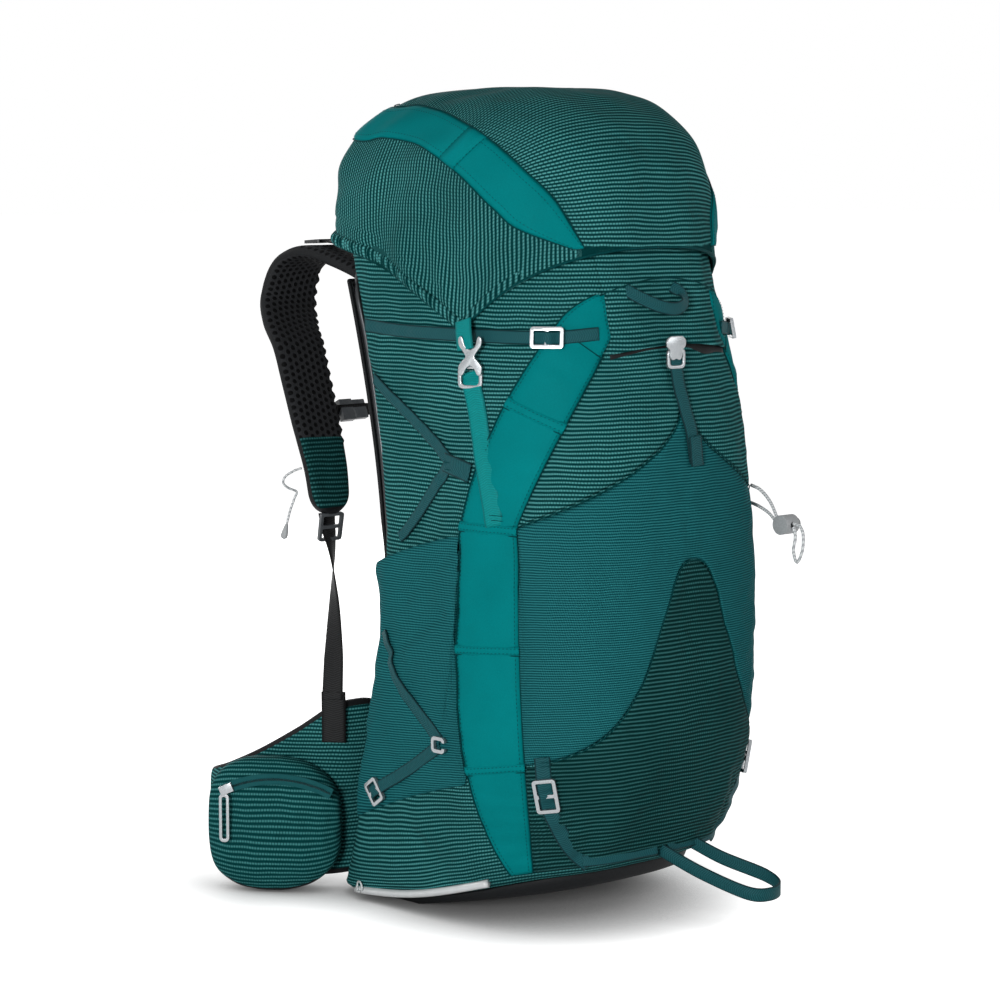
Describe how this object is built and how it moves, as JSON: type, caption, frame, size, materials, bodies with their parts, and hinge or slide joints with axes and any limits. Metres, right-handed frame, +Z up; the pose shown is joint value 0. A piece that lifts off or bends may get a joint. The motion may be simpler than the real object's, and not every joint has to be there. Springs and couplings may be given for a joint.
{
  "type": "hiking backpack",
  "caption": "Tall trekking backpack with a domed hinged lid, stretch pockets, curved mesh back on a wire hoop, padded shoulder harness and wrap-round hip belt with zipped pockets",
  "frame": {"origin": "on the floor under the base, in the plane that halves the pack left and right", "axes": "+Z up, the harness and hip belt on +Y, the front pocket on -Y, the wearer's left on -X"},
  "size_m": [0.4492, 0.5505, 0.716],
  "materials": {
    "striped_fabric": "woven with fine pale stripes",
    "plain_fabric": "plain matte weave",
    "stretch_mesh": "fine stretch knit",
    "teal_webbing": "ribbed webbing",
    "black_webbing": "ribbed webbing",
    "black_padding": "spacer mesh over foam",
    "silver_plastic": "smooth satin",
    "grey_plastic": "satin",
    "black_plastic": "satin",
    "elastic_cord": "braided",
    "frame_wire": "satin",
    "zip_tape": "coil zip on tape"
  },
  "bodies": {
    "pack": {"packbag": "striped_fabric", "base_panel": "black_padding", "gusset_left": "plain_fabric", "gusset_right": "plain_fabric", "front_panel": "striped_fabric", "front_pocket": "stretch_mesh", "bell_panel": "striped_fabric", "side_pocket_left": "stretch_mesh", "side_pocket_right": "stretch_mesh", "side_strap_left": "teal_webbing", "side_strap_right": "teal_webbing", "side_locks": "silver_plastic", "lid_strap_left": "plain_fabric", "lid_strap_right": "plain_fabric", "lid_buckle_frames": "silver_plastic", "pad_strap_left": "teal_webbing", "pad_strap_right": "teal_webbing", "pad_locks": "silver_plastic", "pocket_strap": "teal_webbing", "pocket_buckle": "silver_plastic", "ice_axe_loop": "teal_webbing", "grab_loop": "teal_webbing", "tie_cord": "elastic_cord", "tie_cord_lock": "grey_plastic", "pole_loop": "silver_plastic", "frame_hoop": "frame_wire", "back_mesh": "black_padding", "yoke_plate": "black_padding", "haul_loop": "black_webbing", "lumbar_pad": "black_padding", "shoulder_arch_left": "black_padding", "shoulder_arch_right": "black_padding", "load_lifters": "black_webbing", "shoulder_webbing_left": "black_webbing", "shoulder_webbing_right": "black_webbing", "lid_hinge": "black_webbing"},
    "lid": {"lid_shell": "striped_fabric", "lid_bands": "plain_fabric", "lid_zip": "zip_tape", "lid_buckle_prongs": "silver_plastic"},
    "lid_slider": {"lid_zip_pull": "silver_plastic"},
    "harness": {"shoulder_pad_left": "black_padding", "shoulder_pad_right": "black_padding", "shoulder_locks": "grey_plastic", "stow_cord": "elastic_cord"},
    "sternum": {"sternum_webbing": "black_webbing", "sternum_sliders": "grey_plastic", "sternum_socket": "grey_plastic", "sternum_plug": "grey_plastic"},
    "hip_left": {"hip_wing_left": "black_padding", "hip_pocket_left": "striped_fabric", "hip_zip_left": "zip_tape", "hip_buckle_socket": "black_plastic"},
    "hip_right": {"hip_wing_right": "black_padding", "hip_pocket_right": "striped_fabric", "hip_zip_right": "zip_tape", "hip_buckle_plug": "black_plastic"},
    "hip_slider_left": {"hip_zip_pull_left": "silver_plastic"},
    "hip_slider_right": {"hip_zip_pull_right": "silver_plastic"},
    "cord_button": {"tie_cord_button": "silver_plastic"}
  },
  "joints": [
    {"name": "lid_hinge", "type": "hinge", "parent": "pack", "child": "lid", "pos_m": [0, 0.206, 0.588], "axis": [-1, 0, 0], "range_deg": [0, 75]},
    {"name": "lid_zip_run", "type": "slide", "parent": "lid", "child": "lid_slider", "axis": [1, 0, 0], "range_m": [0, 0.126]},
    {"name": "harness_swing", "type": "hinge", "parent": "pack", "child": "harness", "pos_m": [0, 0.3095, 0.5454], "axis": [1, 0, 0], "range_deg": [0, 30], "deforming": ["shoulder_webbing_left", "shoulder_webbing_right"]},
    {"name": "sternum_height", "type": "slide", "parent": "harness", "child": "sternum", "axis": [0, -0.419, -0.908], "range_m": [-0.018, 0.018]},
    {"name": "hip_wing_left_fold", "type": "hinge", "parent": "pack", "child": "hip_left", "pos_m": [-0.096, 0.19, 0.1], "axis": [0, 0, 1], "range_deg": [-20, 15]},
    {"name": "hip_wing_right_fold", "type": "hinge", "parent": "pack", "child": "hip_right", "pos_m": [0.096, 0.19, 0.1], "axis": [0, 0, -1], "range_deg": [-20, 15]},
    {"name": "hip_zip_left_run", "type": "hinge", "parent": "hip_left", "child": "hip_slider_left", "pos_m": [-0.15312, 0.23242, -0.003], "axis": [0.7634, 0.6459, 0], "range_deg": [0, 48]},
    {"name": "hip_zip_right_run", "type": "hinge", "parent": "hip_right", "child": "hip_slider_right", "pos_m": [0.15312, 0.23242, -0.003], "axis": [0.7634, -0.6459, 0], "range_deg": [0, 48]},
    {"name": "cord_button_press", "type": "slide", "parent": "pack", "child": "cord_button", "axis": [-1, 0, 0], "range_m": [0, 0.003], "stiffness_N_per_m": 600}
  ]
}
